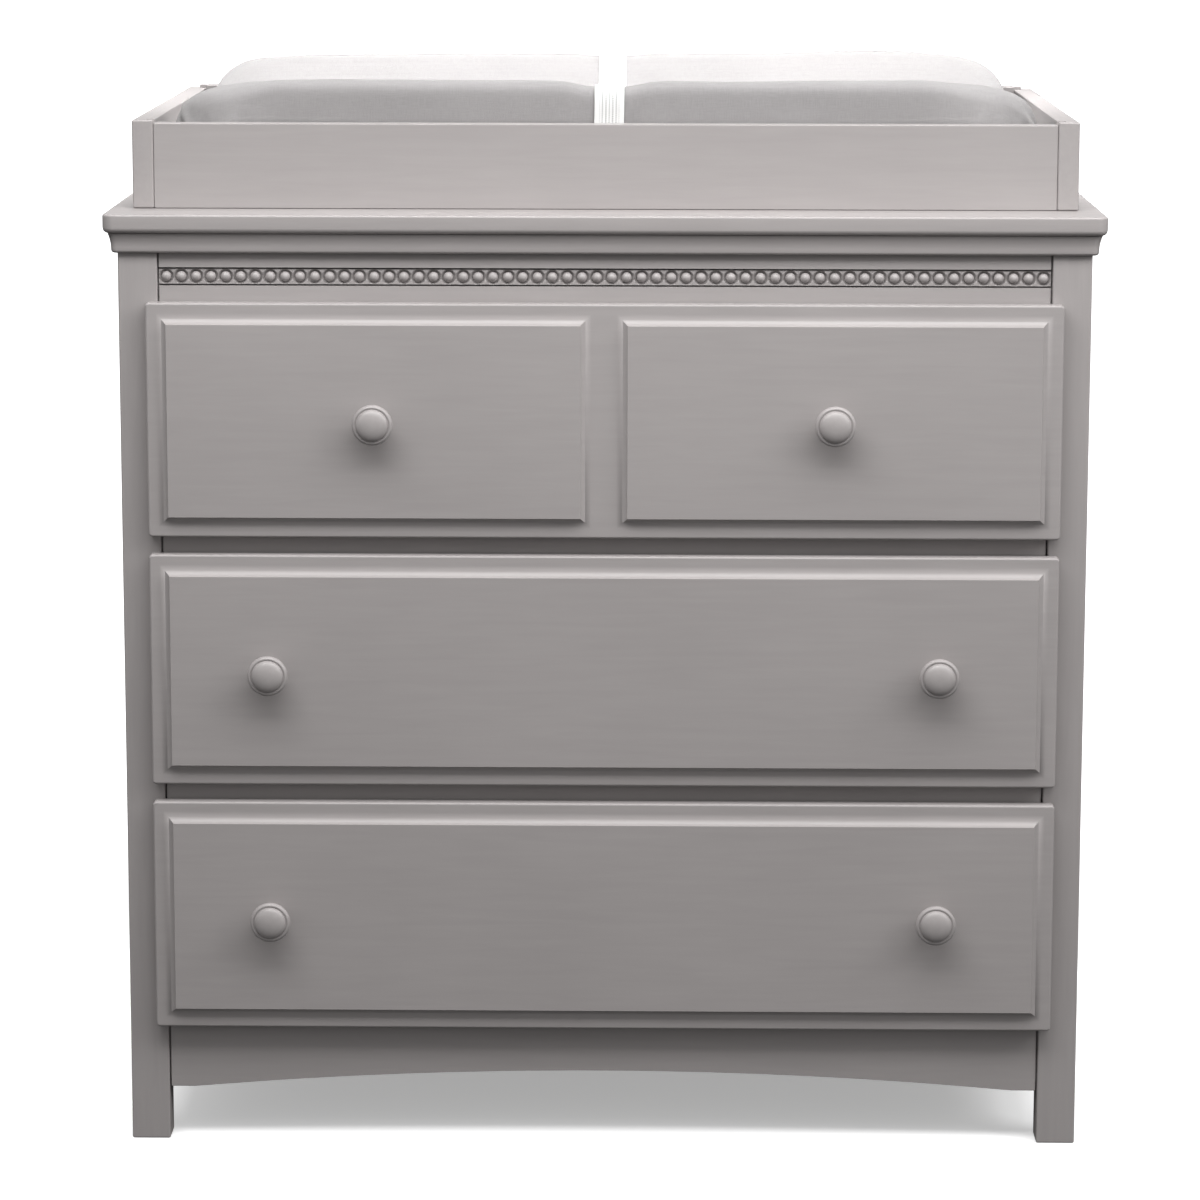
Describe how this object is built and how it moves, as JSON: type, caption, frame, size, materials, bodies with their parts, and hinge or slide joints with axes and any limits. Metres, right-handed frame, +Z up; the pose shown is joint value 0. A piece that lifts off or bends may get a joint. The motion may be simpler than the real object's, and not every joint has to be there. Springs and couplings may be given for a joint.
{
  "type": "changing table",
  "caption": "Dresser with full-width drawers, arched apron and bead moulding, topped by an open changing tray with a contoured strapped pad.",
  "frame": {"origin": "on the floor, under the middle of the whole piece with its knobs", "axes": "+X to the right of a person facing the drawers, drawer fronts towards -Y, +Z up"},
  "size_m": [0.895, 0.545, 0.9779],
  "materials": {
    "grey_paint": "satin grey paint on wood",
    "drawer_wood": "clear-lacquered light wood",
    "back_board": "grey-faced hardboard",
    "slide_steel": "zinc-plated steel",
    "pad_cover": "matt woven cotton cover",
    "strap_webbing": "open-weave white webbing",
    "buckle_plastic": "satin moulded plastic"
  },
  "bodies": {
    "cabinet": {"arched_apron": "grey_paint", "back_panel": "back_board", "bead_strip": "grey_paint", "bottom_cabinet_slide_left": "slide_steel", "bottom_cabinet_slide_right": "slide_steel", "frieze_rail": "grey_paint", "front_cornice": "grey_paint", "front_left_post": "grey_paint", "front_right_post": "grey_paint", "left_cornice": "grey_paint", "left_side_panel": "grey_paint", "lower_divider_rail": "grey_paint", "middle_cabinet_slide_left": "slide_steel", "middle_cabinet_slide_right": "slide_steel", "rear_left_post": "grey_paint", "rear_lower_rail": "grey_paint", "rear_right_post": "grey_paint", "rear_upper_rail": "grey_paint", "right_cornice": "grey_paint", "right_side_panel": "grey_paint", "top_cabinet_slide_left": "slide_steel", "top_cabinet_slide_right": "slide_steel", "top_panel": "grey_paint", "tray_back_board": "grey_paint", "tray_front_board": "grey_paint", "tray_left_board": "grey_paint", "tray_right_board": "grey_paint", "upper_divider_rail": "grey_paint"},
    "top_drawer": {"top_drawer_back": "drawer_wood", "top_drawer_bottom": "drawer_wood", "top_drawer_front": "grey_paint", "top_drawer_knob_left": "grey_paint", "top_drawer_knob_right": "grey_paint", "top_drawer_left_side": "drawer_wood", "top_drawer_right_side": "drawer_wood", "top_drawer_slide_left": "slide_steel", "top_drawer_slide_right": "slide_steel"},
    "middle_drawer": {"middle_drawer_back": "drawer_wood", "middle_drawer_bottom": "drawer_wood", "middle_drawer_front": "grey_paint", "middle_drawer_knob_left": "grey_paint", "middle_drawer_knob_right": "grey_paint", "middle_drawer_left_side": "drawer_wood", "middle_drawer_right_side": "drawer_wood", "middle_drawer_slide_left": "slide_steel", "middle_drawer_slide_right": "slide_steel"},
    "bottom_drawer": {"bottom_drawer_back": "drawer_wood", "bottom_drawer_bottom": "drawer_wood", "bottom_drawer_front": "grey_paint", "bottom_drawer_knob_left": "grey_paint", "bottom_drawer_knob_right": "grey_paint", "bottom_drawer_left_side": "drawer_wood", "bottom_drawer_right_side": "drawer_wood", "bottom_drawer_slide_left": "slide_steel", "bottom_drawer_slide_right": "slide_steel"},
    "pad": {"buckle_plug": "buckle_plastic", "buckle_socket": "buckle_plastic", "changing_pad": "pad_cover", "safety_strap_front": "strap_webbing", "safety_strap_rear": "strap_webbing"}
  },
  "joints": [
    {"name": "top_drawer_slide", "type": "slide", "parent": "cabinet", "child": "top_drawer", "axis": [0, -1, 0], "range_m": [0, 0.3]},
    {"name": "middle_drawer_slide", "type": "slide", "parent": "cabinet", "child": "middle_drawer", "axis": [0, -1, 0], "range_m": [0, 0.3]},
    {"name": "bottom_drawer_slide", "type": "slide", "parent": "cabinet", "child": "bottom_drawer", "axis": [0, -1, 0], "range_m": [0, 0.3]},
    {"name": "pad_lift", "type": "slide", "parent": "cabinet", "child": "pad", "axis": [0, 0, 1], "range_m": [0, 0.25]}
  ]
}
